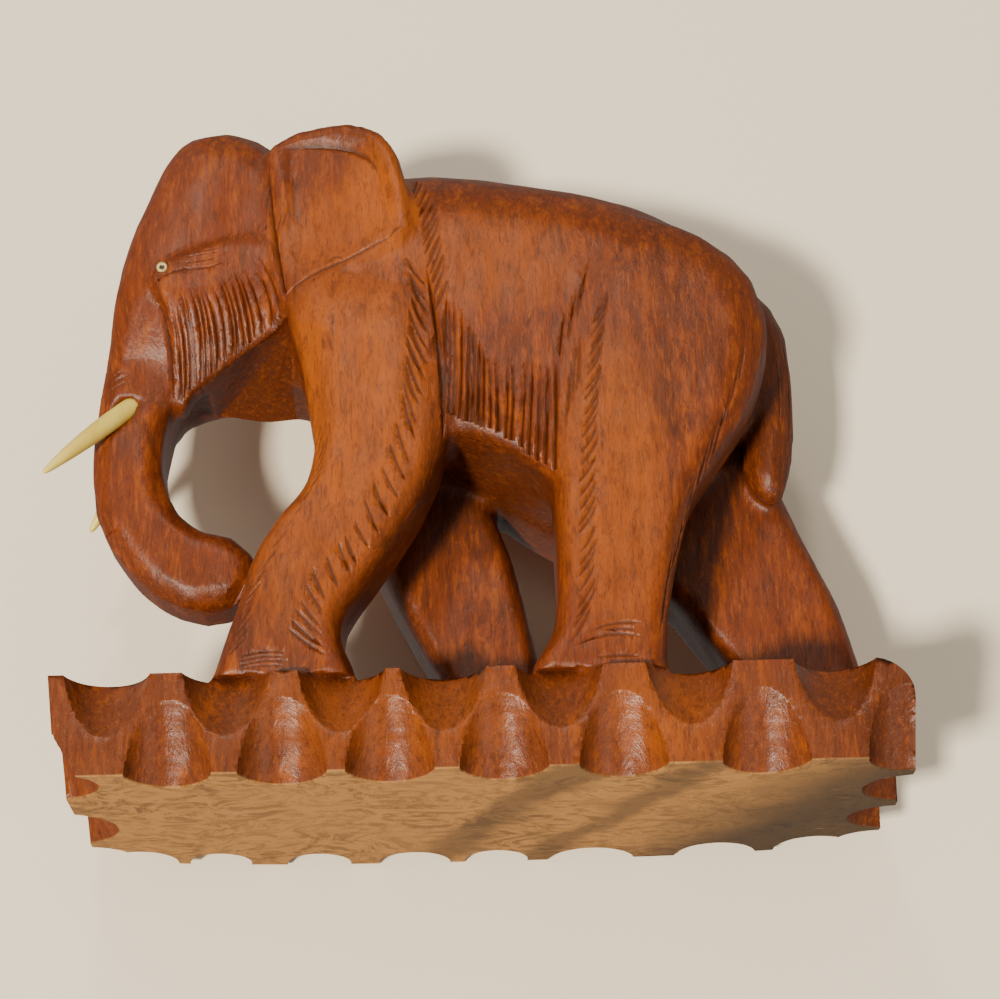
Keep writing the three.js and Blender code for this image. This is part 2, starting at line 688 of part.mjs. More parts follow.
// A closed sweep of round sections, with a pole at each end set out by `overrun`
function taperedSweep(path, radiusAt, overrun) {
  const rings = 10;
  const sides = 12;
  const { tangents, normals, binormals } = path.computeFrenetFrames(rings, false);
  const vertices = [];
  const triangles = [];
  for (let ring = 0; ring <= rings; ring += 1) {
    const centre = path.getPointAt(ring / rings);
    const radius = radiusAt(ring / rings);
    for (let side = 0; side < sides; side += 1) {
      const angle = (2 * Math.PI * side) / sides;
      const point = centre.clone();
      point.addScaledVector(normals[ring], radius * Math.cos(angle));
      point.addScaledVector(binormals[ring], radius * Math.sin(angle));
      vertices.push(point.toArray());
    }
  }
  const at = (ring, side) => ring * sides + (side % sides);
  for (let ring = 0; ring < rings; ring += 1) {
    for (let side = 0; side < sides; side += 1) {
      triangles.push([at(ring, side), at(ring, side + 1), at(ring + 1, side + 1)]);
      triangles.push([at(ring, side), at(ring + 1, side + 1), at(ring + 1, side)]);
    }
  }
  const rootPole = vertices.length;
  const domeHeight = radiusAt(1) * 0.7;
  vertices.push(path.getPointAt(0).addScaledVector(tangents[0], -overrun - 0.01).toArray());
  vertices.push(path.getPointAt(1).addScaledVector(tangents[rings], domeHeight).toArray());
  for (let side = 0; side < sides; side += 1) {
    triangles.push([rootPole, at(0, side + 1), at(0, side)]);
    triangles.push([rootPole + 1, at(rings, side), at(rings, side + 1)]);
  }
  return indexedGeometry({ vertices, triangles });
}

// Eyes: a flat button with a drilled pupil, let into the side of the head
const eyeX = lengthwise(-122);
const eyeZ = upward(175);

// Half thickness of the finished figure beside one point of the side view
function surfaceHalf(x, z) {
  const distance = figureColumn(x, z);
  let inside = 0;
  let outside = legsOuter;
  while (outside - inside > 0.01) {
    const middle = (inside + outside) / 2;
    [inside, outside] = distance(middle) < 0 ? [middle, outside] : [inside, middle];
  }
  return inside;
}
const eyeSeat = surfaceHalf(eyeX, eyeZ);

function eyeButton(side) {
  const half = eyeThickness / 2;
  const profile = [
    [0, -half], [eyeRadius, -half], [eyeRadius, half - 0.5], [eyeRadius * 0.8, half],
    [pupilRadius, half], [0, half - 0.8],
  ].map(([radius, along]) => new THREE.Vector2(radius, along));
  const button = new THREE.LatheGeometry(profile, 16);
  button.rotateX(side < 0 ? Math.PI : 0);
  return button.translate(eyeX, side * (eyeSeat + eyeStandsProud - half), eyeZ);
}

function eyeSocket(side) {
  const depth = eyeThickness - eyeStandsProud + inlayClearance;
  const overrun = 4;
  const radius = eyeRadius + inlayClearance;
  const drill = new THREE.CylinderGeometry(radius, radius, depth + overrun, 16);
  return drill.translate(eyeX, side * (eyeSeat - depth + (depth + overrun) / 2), eyeZ);
}

function elephantGeometry() {
  const figure = toSolid(indexedGeometry(reduceTriangles(figureSurface(), carvingTriangles)));
  const below = new THREE.BoxGeometry(4 * baseLength, 4 * leftToRight, baseHeight);
  below.translate(0, 0, -baseHeight / 2);
  let carving = figure.subtract(toSolid(below)).add(baseSlab()).subtract(gougeCuts());
  [-1, 1].forEach((side) => {
    carving = carving.subtract(toSolid(tuskSolid(side, inlayClearance)));
    carving = carving.subtract(toSolid(eyeSocket(side)));
  });
  return toGeometry(carving);
}

// Materials and assembly
const varnishedWood = new THREE.MeshStandardMaterial({ color: 0x9c4a1f, roughness: 0.38, metalness: 0 });
const tuskIvoryColour = new THREE.MeshStandardMaterial({ color: 0xe3d3a4, roughness: 0.4, metalness: 0 });
const eyeIvoryColour = new THREE.MeshStandardMaterial({ color: 0xd9cfa9, roughness: 0.35, metalness: 0 });

function namedMesh(name, geometry, material) {
  const mesh = new THREE.Mesh(geometry, material);
  mesh.name = name;
  return mesh;
}

const carving = new THREE.Group();
carving.add(namedMesh('elephant_and_base', elephantGeometry(), varnishedWood));
[['left', -1], ['right', 1]].forEach(([name, side]) => {
  carving.add(namedMesh(`tusk_${name}`, tuskSolid(side, 0), tuskIvoryColour));
  carving.add(namedMesh(`eye_${name}`, eyeButton(side), eyeIvoryColour));
});

export default carving;
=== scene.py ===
import math
import random

import bmesh
import bpy
import numpy as np
from mathutils import Matrix, Vector
from mathutils.bvhtree import BVHTree


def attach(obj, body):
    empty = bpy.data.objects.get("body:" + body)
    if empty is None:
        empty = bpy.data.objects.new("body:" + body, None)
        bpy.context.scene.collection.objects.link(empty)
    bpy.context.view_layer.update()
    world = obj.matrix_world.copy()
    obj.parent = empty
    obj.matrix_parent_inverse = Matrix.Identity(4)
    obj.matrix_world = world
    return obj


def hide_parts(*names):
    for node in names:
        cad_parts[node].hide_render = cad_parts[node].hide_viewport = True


# Carved wooden elephant: the fine carving, varnish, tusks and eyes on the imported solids.
# Lengths in the dictionaries are millimetres in the part's own frame, unless a note says otherwise.

mm = 0.001
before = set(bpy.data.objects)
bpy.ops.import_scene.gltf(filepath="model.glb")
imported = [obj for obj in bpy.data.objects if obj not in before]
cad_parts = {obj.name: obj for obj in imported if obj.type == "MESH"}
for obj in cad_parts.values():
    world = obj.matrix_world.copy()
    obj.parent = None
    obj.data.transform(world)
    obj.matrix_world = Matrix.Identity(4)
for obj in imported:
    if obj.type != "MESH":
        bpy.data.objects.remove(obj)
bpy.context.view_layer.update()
print("frame loaded:", ", ".join(sorted(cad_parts)))


# ---- working helpers

def deselectAll():
    if bpy.context.object and bpy.context.object.mode != 'OBJECT':
        bpy.ops.object.mode_set(mode='OBJECT')
    bpy.ops.object.select_all(action='DESELECT')


def pick(piece):
    deselectAll()
    piece.select_set(True)
    bpy.context.view_layer.objects.active = piece


def edit(piece):
    pick(piece)
    bpy.ops.object.mode_set(mode='EDIT')
    bpy.ops.mesh.select_all(action='SELECT')


def applyModifier(piece, kind, **settings):
    pick(piece)
    modifier = piece.modifiers.new(kind.lower(), kind)
    for key, value in settings.items():
        setattr(modifier, key, value)
    bpy.ops.object.modifier_apply(modifier=modifier.name)


def copyNode(nodeName, name):
    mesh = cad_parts[nodeName].data.copy()
    mesh.name = name
    mesh.materials.clear()
    piece = bpy.data.objects.new(name, mesh)
    bpy.context.scene.collection.objects.link(piece)
    edit(piece)
    bpy.ops.mesh.remove_doubles(threshold=1e-6)
    bpy.ops.object.mode_set(mode='OBJECT')
    return piece


def trim(piece, height, keepAbove):
    edit(piece)
    bpy.ops.mesh.bisect(plane_co=(0, 0, height * mm), plane_no=(0, 0, 1), use_fill=True,
                        clear_inner=keepAbove, clear_outer=not keepAbove, threshold=1e-7)
    bpy.ops.object.mode_set(mode='OBJECT')


def combine(piece, other, operation):
    before = len(piece.data.vertices)
    applyModifier(piece, 'BOOLEAN', object=other, operation=operation, solver='MANIFOLD')
    if len(piece.data.vertices) in (0, before):
        print("  boolean gave nothing:", other.name, before, len(piece.data.vertices))
    bpy.data.objects.remove(other)


def joinAll(pieces, name):
    deselectAll()
    for piece in pieces:
        piece.select_set(True)
    bpy.context.view_layer.objects.active = pieces[0]
    bpy.ops.object.join()
    pieces[0].name = name
    edit(pieces[0])
    bpy.ops.mesh.normals_make_consistent(inside=False)
    bpy.ops.object.mode_set(mode='OBJECT')
    return pieces[0]


def vertexArray(piece):
    places = np.zeros(len(piece.data.vertices) * 3)
    piece.data.vertices.foreach_get("co", places)
    return places.reshape(-1, 3)


def surfaceOf(piece):
    return BVHTree.FromPolygons([v.co for v in piece.data.vertices],
                                [p.vertices for p in piece.data.polygons])


# ---- camera

camera = {
    "place": (-11.1, -861.2, -244.5),
    "pitch": 23.251,   # degrees upwards
    "yaw": 1.371,
    "roll": -1.733,
    "lens": 86.4,
}


def addCamera():
    pitch, yaw, roll = (math.radians(camera[key]) for key in ("pitch", "yaw", "roll"))
    ahead = Vector((math.sin(yaw) * math.cos(pitch), math.cos(yaw) * math.cos(pitch), math.sin(pitch)))
    level = Vector((math.cos(yaw), -math.sin(yaw), 0))
    up = level.cross(ahead)
    right = math.cos(roll) * level + math.sin(roll) * up
    top = math.cos(roll) * up - math.sin(roll) * level
    turn = Matrix((right, top, -ahead)).transposed().to_4x4()
    bpy.ops.object.camera_add()
    eye = bpy.context.object
    eye.matrix_world = Matrix.Translation(Vector(camera["place"]) * mm) @ turn
    eye.data.lens = camera["lens"]
    eye.data.sensor_width = 36
    eye.data.clip_start = 0.01
    bpy.context.scene.camera = eye


addCamera()


# ---- figure: the solid's own forms, rounded by a finer skin

figure = {
    "trimHeight": 36.6,    # just under the base's top
    "voxel": 1.6,
    "bodySmoothing": 8,
    "faceSmoothing": 3,
    "handMarks": 0.35,     # unevenness left by the knife
    "handMarkSpan": 17.0,
    "keep": 0.5,           # share of the triangles kept where the skin is even
}


def roundFigure():
    piece = copyNode("elephant_and_base", "carved_elephant")
    trim(piece, figure["trimHeight"], keepAbove=True)
    applyModifier(piece, 'REMESH', mode='VOXEL', voxel_size=figure["voxel"] * mm)
    x, _, z = (vertexArray(piece) / mm).T
    sharper = ((x < -24) & (z > 150)) | ((x < -92) & (z > 62)) | (z < 46)
    group = piece.vertex_groups.new(name="body")
    for index in np.flatnonzero(~sharper).tolist():
        group.add([index], 1.0, 'REPLACE')
    applyModifier(piece, 'SMOOTH', factor=0.5, iterations=figure["bodySmoothing"] - figure["faceSmoothing"],
                  vertex_group="body")
    applyModifier(piece, 'SMOOTH', factor=0.5, iterations=figure["faceSmoothing"])
    clouds = bpy.data.textures.new("knifeMarks", 'CLOUDS')
    clouds.noise_scale = figure["handMarkSpan"] * mm
    clouds.noise_depth = 1
    applyModifier(piece, 'DISPLACE', texture=clouds, texture_coords='LOCAL', mid_level=0.5,
                  strength=figure["handMarks"] * 2 * mm)
    applyModifier(piece, 'DECIMATE', ratio=figure["keep"])
    print("figure rounded:", len(piece.data.polygons), "faces")
    return piece


# ---- flats left by the chisel

# a point on each flat, the way it faces, and the chisel's width, length and depth there
flats = {
    "trunkFront": ((-129.7, -15.2, 98.7), (-0.736, -0.514, -0.440), (34, 26, 12)),
    "trunkBelow": ((-114.5, -14.7, 83.7), (-0.344, -0.514, -0.785), (26, 24, 12)),
    "trunkTip": ((-95.8, -14.2, 84.5), (0.555, -0.514, -0.654), (14, 14, 7)),
}

# the chisel's corners for the cut that runs in under the jaw
jawCut = [(-106, -60, 167), (-106, -22, 167), (-106, 20.5, 169), (-106, 20.5, 150), (-106, -60, 150),
          (-71, -60, 189.3), (-71, -22, 189.3), (-71, 20.5, 169), (-71, 20.5, 150), (-71, -60, 150)]


def flatCut(place, facing, size, mirror):
    deselectAll()
    bpy.ops.mesh.primitive_cube_add(size=1, location=(0, 0, 0))
    block = bpy.context.object
    flip = Matrix.Diagonal((1, mirror, 1, 1))
    turn = Vector(facing).to_track_quat('Z', 'Y').to_matrix().to_4x4()
    block.data.transform(flip @ Matrix.Translation(Vector(place) * mm) @ turn
                         @ Matrix.Diagonal((size[0] * mm, size[1] * mm, size[2] * mm, 1))
                         @ Matrix.Translation((0, 0, 0.5)))
    edit(block)
    bpy.ops.mesh.normals_make_consistent(inside=False)
    bpy.ops.object.mode_set(mode='OBJECT')
    return block


def hullCut(corners, name):
    mesh = bpy.data.meshes.new(name)
    mesh.from_pydata([tuple(value * mm for value in corner) for corner in corners], [], [])
    block = bpy.data.objects.new(name, mesh)
    bpy.context.scene.collection.objects.link(block)
    edit(block)
    bpy.ops.mesh.convex_hull()
    bpy.ops.mesh.normals_make_consistent(inside=False)
    bpy.ops.object.mode_set(mode='OBJECT')
    return block


def cutFlats(piece):
    for mirror in (1, -1):
        for place, facing, size in flats.values():
            combine(piece, flatCut(place, facing, size, mirror), 'DIFFERENCE')
    combine(piece, hullCut(jawCut, "jawChisel"), 'DIFFERENCE')


# ---- base: the slab of the solid, with every scoop cut again by a finer gouge

base = {
    "length": 307.0,
    "height": 37.5,
    "leftFace": 56.0,
    "rightCorner": 55.0,
    "rightBow": 16.0,
    "endLean": 4.0,
    "ceiling": 39.5,       # how far up the gouge runs into the feet
}

gouge = {
    "radius": 15.5,
    "overcut": 0.35,
    "tilt": 30.0,          # degrees
    "halfLength": 44.0,
    "sides": 44,
    "chatter": {"low": 0.13, "high": 0.10},
    "ringPitch": {"low": 1.35, "high": 2.4},
    "lowerRise": 27.0,
    "upperDrop": 23.0,
}

# [place, width]: shares of half the face's length, and of the gouge's width
scoopRows = [
    {"turn": 0, "half": 153.5, "low": [(-0.72, 0.97), (-0.46, 1), (-0.215, 1), (0.045, 1), (0.318, 1), (0.645, 1), (0.975, 0.95)],
     "high": [(-0.865, 0.98), (-0.59, 1.02), (-0.325, 1.02), (-0.09, 1), (0.178, 1.02), (0.48, 1.02), (0.818, 0.95)]},
    {"turn": 180, "half": -153.5, "low": [(-0.87, 0.9), (-0.67, 0.75), (-0.42, 0.78), (-0.175, 0.88), (0.035, 0.78), (0.28, 1.1), (0.6, 1.02), (0.85, 1)],
     "high": [(-0.77, 0.95), (-0.545, 0.85), (-0.3, 0.9), (-0.07, 0.85), (0.155, 0.95), (0.44, 1.05), (0.73, 1)]},
    {"turn": -90, "half": -55.5, "low": [(-0.79, 1), (0.2, 1.45), (0.93, 1)], "high": [(-0.22, 1.1), (0.55, 0.9)]},
    {"turn": 90, "half": 55.5, "low": [(-0.33, 1.1), (0.36, 1), (0.95, 0.9)], "high": []},
]


def faceOut(turn, place):
    if turn == 0:
        return base["leftFace"]
    if turn == 180:
        return base["rightCorner"] + base["rightBow"] * (1 - min(abs(place), 1) ** 3)
    return base["length"] / 2 - (base["endLean"] / 2 if turn < 0 else 0)


def gougeTool(level, seed):
    chance = random.Random(seed)
    deselectAll()
    reach = gouge["halfLength"] * mm
    bpy.ops.mesh.primitive_circle_add(vertices=gouge["sides"], radius=gouge["radius"] * mm,
                                      fill_type='NGON', location=(0, 0, 0))
    tool = bpy.context.object
    tool.data.transform(Matrix.Translation((0, 0, -reach)))
    bpy.ops.object.mode_set(mode='EDIT')
    bpy.ops.mesh.select_all(action='SELECT')
    rings = int(2 * gouge["halfLength"] / gouge["ringPitch"][level])
    swell = 1.0
    for ring in range(rings):
        bpy.ops.mesh.extrude_region_move(TRANSFORM_OT_translate={"value": (0, 0, 2 * reach / rings)})
        bite = chance.uniform(0.4, 1.6) * gouge["chatter"][level]
        nextSwell = 1 + (ring % 2) * bite / gouge["radius"]
        grow = nextSwell / swell
        bpy.ops.transform.resize(value=(grow, grow, 1))
        swell = nextSwell
    bpy.ops.object.mode_set(mode='OBJECT')
    return tool


def scoopCutter(tools, row, level):
    cuts = []
    for number, (place, width) in enumerate(row[level]):
        radius = gouge["radius"] * width
        tilt = math.radians(gouge["tilt"]) * (1 if level == "low" else -1)
        grow = (radius + gouge["overcut"]) / gouge["radius"]
        height = gouge["lowerRise"] if level == "low" else base["height"] - gouge["upperDrop"]
        out = faceOut(row["turn"], place) + radius / math.cos(tilt)
        cut = bpy.data.objects.new("scoop", tools[number % len(tools)].data.copy())
        bpy.context.scene.collection.objects.link(cut)
        cut.data.transform(
            Matrix.Rotation(math.radians(row["turn"]), 4, 'Z')
            @ Matrix.Translation(Vector((place * row["half"], -out, height)) * mm)
            @ Matrix.Rotation(tilt, 4, 'X')
            @ Matrix.Rotation(number * 1.1, 4, 'Z')
            @ Matrix.Diagonal((grow, grow, 1, 1)))
        cuts.append(cut)
    cutter = joinAll(cuts, "scoops")
    trim(cutter, base["ceiling"], keepAbove=False)
    return cutter


def splitLongEdges(piece, limit, low, high):
    # finer faces on the base's sides, where the flats between the scoops are wide
    mesh = bmesh.new()
    mesh.from_mesh(piece.data)
    for _ in range(3):
        long = [edge for edge in mesh.edges if edge.calc_length() > limit * mm
                and all(low * mm < corner.co.z < high * mm for corner in edge.verts)
                and any(abs(face.normal.z) < 0.9 for face in edge.link_faces)]
        if not long:
            break
        bmesh.ops.subdivide_edges(mesh, edges=long, cuts=1)
        bmesh.ops.triangulate(mesh, faces=[face for face in mesh.faces if len(face.verts) > 4])
    mesh.to_mesh(piece.data)
    mesh.free()


def addBase(piece):
    slab = copyNode("elephant_and_base", "slab")
    trim(slab, base["height"] - 0.02, keepAbove=False)
    combine(piece, slab, 'UNION')
    for level in ("low", "high"):
        tools = [gougeTool(level, seed) for seed in (3, 8, 11)]
        for row in scoopRows:
            if row[level]:
                combine(piece, scoopCutter(tools, row, level), 'DIFFERENCE')
        for tool in tools:
            bpy.data.objects.remove(tool)
    splitLongEdges(piece, 5, -1, base["height"] + 0.1)
    print("base joined and scooped:", len(piece.data.polygons), "faces")


# ---- knife and V-tool strokes
# Guides are [x, z] seen from the side. A comb runs strokes from one guide to the other.

combs = {
    "shoulder": {"tops": [(-25, 209), (-23, 196), (-24.5, 179), (-26, 164), (-27, 149), (-33.5, 124), (-41, 107), (-49.5, 91), (-60.5, 80), (-66.5, 67), (-70, 57)],
                 "ends": [(-17, 196), (-16.5, 181), (-17, 159), (-19.5, 145), (-22.5, 127), (-27.5, 108), (-35.5, 93), (-45.5, 78), (-55.5, 67), (-57.5, 54), (-54.5, 45)],
                 "count": 26, "bow": -0.9, "width": 2.5, "depth": 1.4, "lean": 0.25},
    "flank": {"tops": [(-20, 251), (-15.7, 243), (-12.3, 232), (-11.8, 224), (-10, 213), (-8.5, 200)],
              "ends": [(-22.2, 239), (-20.2, 228), (-19.2, 218), (-18.2, 207), (-16.2, 197), (-14, 184)],
              "count": 13, "bow": 0.3, "width": 2.1, "depth": 1.0, "lean": -0.4},
    "fringe": {"tops": [(-10.5, 194), (-7, 191), (-3, 187), (0.5, 180), (3.5, 175), (6.3, 168), (10.8, 164), (16.5, 165), (22, 168), (26, 165), (31, 166)],
               "ends": [(-11.5, 146), (-8.5, 144), (-5, 142), (-1.5, 140.5), (2, 138.5), (6, 137), (10, 134.5), (14, 131.5), (19, 128), (24, 124), (29, 120)],
               "count": 17, "bow": 0.4, "width": 1.7, "depth": 1.0, "opens": True},
    "thigh": {"tops": [(52, 193), (50.5, 180), (49, 168), (47.5, 153), (46.3, 137), (45, 121), (44.2, 105), (43.6, 89), (42.6, 74), (41.2, 64)],
              "ends": [(45, 180), (43.5, 167), (41.5, 155), (40, 140), (38.3, 124), (37, 108), (36.2, 92), (35.6, 76), (34.6, 61), (31, 47)],
              "count": 27, "bow": 0.7, "width": 1.7, "depth": 0.95, "lean": 0.2},
    "groin": {"tops": [(46, 207), (43.5, 200), (40, 192), (36.3, 186)], "ends": [(42.5, 190), (39.5, 178), (35.5, 168), (32.5, 160)],
              "count": 4, "bow": -0.5, "width": 1.3, "depth": 0.8},
    "groinLow": {"tops": [(41, 176), (38.5, 168), (36.5, 160)], "ends": [(38, 148), (35, 140), (33, 132)],
                 "count": 4, "bow": 0.3, "width": 1.7, "depth": 0.9},
    "thighRear": {"tops": [(103.5, 170), (98.5, 154), (93.5, 140), (87, 126), (81.5, 113), (77, 101), (72.3, 87), (68, 70)],
                  "ends": [(99, 149), (93, 133), (87, 119), (81, 107), (76, 95), (71.5, 81), (68, 69), (64.5, 52)],
                  "count": 19, "bow": 0.4, "width": 1.5, "depth": 0.6},
    "shin": {"tops": [(-63, 156), (-60.5, 146), (-57.5, 136), (-55.5, 127), (-58, 118), (-65, 104), (-70.2, 94.5), (-75.5, 85), (-78, 78), (-80, 72), (-81, 65), (-84, 55)],
             "ends": [(-64.5, 143), (-62.5, 134), (-60.5, 126), (-60.5, 118), (-63.2, 110), (-69.5, 98), (-76, 87), (-81, 78), (-84, 71), (-86, 64), (-89, 55), (-91.5, 46)],
             "count": 26, "bow": 0.3, "width": 1.5, "depth": 0.6},
    "cheek": {"tops": [(-117, 198), (-111, 203), (-105, 205), (-99, 208), (-92, 212.5), (-84.5, 218)],
              "ends": [(-114.5, 160), (-108.5, 165.5), (-101, 170.5), (-92.5, 176.5), (-84.5, 181.5), (-75, 187)],
              "count": 17, "bow": 2.2, "width": 1.2, "depth": 0.7, "opens": True},
}

# The right legs step differently, so their combs have guides of their own
rightCombs = {
    "shoulder": {"tops": [(-16, 208), (-17, 190), (-18, 172), (-12, 150), (-4, 130), (4, 110), (9, 90), (13, 70)],
                 "ends": [(-9, 196), (-10, 176), (-9, 158), (-3, 138), (5, 119), (12, 99), (16, 78), (20, 56)],
                 "count": 17, "bow": 0.6, "width": 2.2, "depth": 1.0, "lean": -0.4},
    "thigh": {"tops": [(60, 190), (52, 172), (44, 152), (50, 126), (66, 110), (84, 95), (96, 80), (106, 62)],
              "ends": [(48, 176), (40, 156), (34, 132), (43, 109), (59, 98), (76, 84), (89, 68), (98, 50)],
              "count": 20, "bow": 0.5, "width": 2.3, "depth": 1.0, "lean": 0.4},
    "thighRear": {"tops": [(110, 160), (120, 130), (129, 106), (137, 84), (143, 62)], "ends": [(116, 146), (124, 119), (132, 97), (139, 75), (145, 52)],
                  "count": 13, "bow": 0.3, "width": 1.4, "depth": 0.6},
}

lines = {
    "brow": {"paths": [[(-123, 205.7), (-118, 208.5), (-113.4, 210.9), (-109.5, 212.3), (-104, 211.4), (-99, 212.4), (-93.2, 216.5)]],
             "width": 1.3, "depth": 0.9, "lean": -0.5},
    "browAbove": {"paths": [[(-116.7, 214), (-104, 215), (-93.3, 218.4)], [(-113.6, 216.8), (-105, 217.6), (-96, 219.6)], [(-109, 219.3), (-102, 219.6), (-96.5, 221.2)]],
                  "width": 0.8, "depth": 0.5},
    "eyeSocket": {"paths": [[(-124.5, 209.5), (-121.5, 208.4), (-117.8, 210.2)]], "width": 0.8, "depth": 0.5},
    "cheekFront": {"paths": [[(-123, 200.5), (-120.8, 194), (-118.6, 185.5), (-117.6, 174), (-116.6, 163)]], "width": 2.2, "depth": 1.4, "lean": 0.5},
    "cheekPoint": {"paths": [[(-119, 191), (-117, 181), (-115.8, 171)], [(-117.2, 196), (-115, 187), (-113.6, 176)], [(-120, 197), (-118.4, 192), (-117.3, 187)]],
                   "width": 0.9, "depth": 0.4},
    "earFront": {"paths": [[(-79.5, 258), (-79, 246), (-77.8, 232), (-76, 216), (-73.5, 204), (-71, 192)]], "width": 3.0, "depth": 2.4},
    "earRim": {"paths": [[(-77, 262.4), (-70.7, 262.6), (-60.7, 264.2), (-51, 263), (-43, 258.6), (-37.5, 251), (-35, 243)]],
               "width": 4.0, "depth": 1.2, "lean": -0.75},
    "earLip": {"paths": [[(-72.5, 195.5), (-66.2, 199.8), (-59.5, 203.4), (-52, 207.2), (-42.1, 210.9), (-35.1, 213.8), (-28, 218.8)]],
               "width": 3.0, "depth": 0.8, "lean": 0.6},
    "earUnder": {"paths": [[(-75, 184), (-69, 189.5), (-61, 194.5), (-50, 202), (-40, 208.6), (-30.5, 213.8), (-21.5, 219.8)]], "width": 2.4, "depth": 2.6},
    "earBack": {"paths": [[(-26.2, 249), (-23.2, 240), (-21.8, 231), (-21, 221)]], "width": 5.2, "depth": 2.2, "lean": -0.3},
    "earFold": {"paths": [[(-55.6, 206.5), (-54, 210.6), (-51, 210.9), (-48, 207.5)], [(-31.5, 216), (-28.4, 220), (-24.8, 221.8)]],
                "width": 1.3, "depth": 0.7},
    "earNick": {"paths": [[(-73, 236), (-75.3, 228), (-77.4, 221)], [(-71.1, 235.5), (-73.8, 226.5)], [(-79.6, 243), (-80.3, 238)], [(-82.5, 233), (-83.5, 228)], [(-80, 232), (-80.8, 228)]],
                "width": 1.2, "depth": 0.7},
    "foreAnkle": {"paths": [[(-87.4, 45.4), (-79, 47.8), (-68, 47)], [(-88.4, 43.9), (-78.5, 46), (-69, 45.4)], [(-88.8, 42.3), (-77, 44.3), (-68, 43.8)], [(-86, 41.2), (-78, 42.6), (-70, 42.2)]],
                  "width": 1.3, "depth": 0.8},
    "hindAnkle": {"paths": [[(39.5, 52.2), (48, 55.6), (60.5, 55.4)], [(32.5, 47), (43, 51), (50, 51.8), (59, 50.3)], [(40, 42.5), (50, 43.6), (57.5, 42.6)], [(44, 53), (50, 53.6), (57, 53)]],
                  "width": 1.9, "depth": 1.1},
    "flankCrease": {"paths": [[(-17.5, 206), (-15.3, 190), (-13.4, 176), (-12.3, 160), (-11.9, 145), (-12.2, 132)]], "width": 2.6, "depth": 1.8},
    "tailEnd": {"paths": [[(103, 142), (115, 134), (128, 123), (139, 113), (147, 106)]], "width": 2.6, "depth": 1.5, "lean": 0.6},
    "tuskNotch": {"paths": [[(-143, 169), (-137, 171.5), (-132, 174)], [(-144, 166), (-138, 168.5), (-134, 170.5)], [(-141, 172), (-136, 174.5)]],
                  "width": 0.9, "depth": 0.4},
}

# Lines given as [x, y, z] lie on whatever surface is nearest
freeLines = {
    "tailRidge": {"paths": [[(126.5, -5, 192), (128.5, -5, 175), (128, -5, 158), (124, -5, 140)], [(121, -9, 186), (123, -9, 170), (121, -9, 150)],
                            [(124, 9, 190), (126, 9.5, 170), (125, 9.5, 150)]], "width": 1.3, "depth": 0.7},
    "bellyLine": {"paths": [[(-9, -36, 136.5), (2, -38, 133), (12.5, -40, 128.5)]], "width": 1.0, "depth": 0.5},
}

stroke = {"stations": 9, "lift": 0.5}


def along(guide, share):
    points = np.array(guide, float)
    return np.array([np.interp(share * (len(points) - 1), range(len(points)), column) for column in points.T])


def smoothPath(points, count):
    points = np.array(points, float)
    shares = np.linspace(0, 1, len(points))
    fit = np.polyfit(shares, points, min(len(points) - 1, 3))
    return np.array([[np.polyval(column, share) for column in fit.T] for share in np.linspace(0, 1, count)])


def vBar():
    # three-sided bar along +Z, its keel at +Y
    deselectAll()
    bpy.ops.mesh.primitive_circle_add(vertices=3, radius=1, fill_type='NGON', location=(0, 0, 0))
    bar = bpy.context.object
    bpy.ops.object.mode_set(mode='EDIT')
    bpy.ops.mesh.select_all(action='SELECT')
    for _ in range(stroke["stations"] - 1):
        bpy.ops.mesh.extrude_region_move(TRANSFORM_OT_translate={"value": (0, 0, 1 / (stroke["stations"] - 1))})
    bpy.ops.object.mode_set(mode='OBJECT')
    return bar


def onSurface(surface, path, side):
    # the path laid on the wood, seen from one side or, for a path in space, on the nearest face
    places, normals = [], []
    for point in path:
        if len(point) == 3:
            place, normal, _, _ = surface.find_nearest(Vector(point) * mm)
        else:
            start = Vector((point[0] * mm, side * 0.2, point[1] * mm))
            place, normal, _, _ = surface.ray_cast(start, Vector((0, -side, 0)))
            if place is not None and places and (abs(normal.y) < 0.25 or abs(place.y - places[-1].y) > 4 * mm):
                place = None
        if place is None:
            if not places:
                return None
            place = Vector((point[0] * mm, places[-1].y, point[-1] * mm))
            normal = normals[-1]
        places.append(place)
        normals.append(normal.copy())
    mean = sum(normals, Vector()).normalized()
    normals = [(0.5 * normal + 0.5 * mean).normalized() for normal in normals]
    return places, normals


def depthShare(share, opens):
    if opens:
        return min(1, share / 0.35) ** 0.8
    return math.sin(math.pi * min(max(share, 0), 1)) ** 0.6


def strokeCut(bar, surface, path, side, width, depth, opens, lean):
    laid = onSurface(surface, path, side)
    if laid is None:
        return None
    places, normals = laid
    cut = bpy.data.objects.new("stroke", bar.data.copy())
    bpy.context.scene.collection.objects.link(cut)
    last = stroke["stations"] - 1
    lift = stroke["lift"] * mm
    slope = 0.5 * width / depth
    for vertex in cut.data.vertices:
        station = round(vertex.co.z * last)
        ahead = (places[min(station + 1, last)] - places[max(station - 1, 0)]).normalized()
        across = normals[station].cross(ahead).normalized()
        sink = depth * mm * depthShare(station / last, opens)
        if vertex.co.y > 0.5:
            closed = station == 0 or (station == last and not opens)
            shift = normals[station] * (0.3 * lift if closed else -sink) + across * (lean * slope * sink)
        else:
            reach = slope * (sink + lift) + 0.05 * mm
            shift = normals[station] * lift + across * math.copysign(reach, vertex.co.x)
        vertex.co = places[station] + shift
    return cut


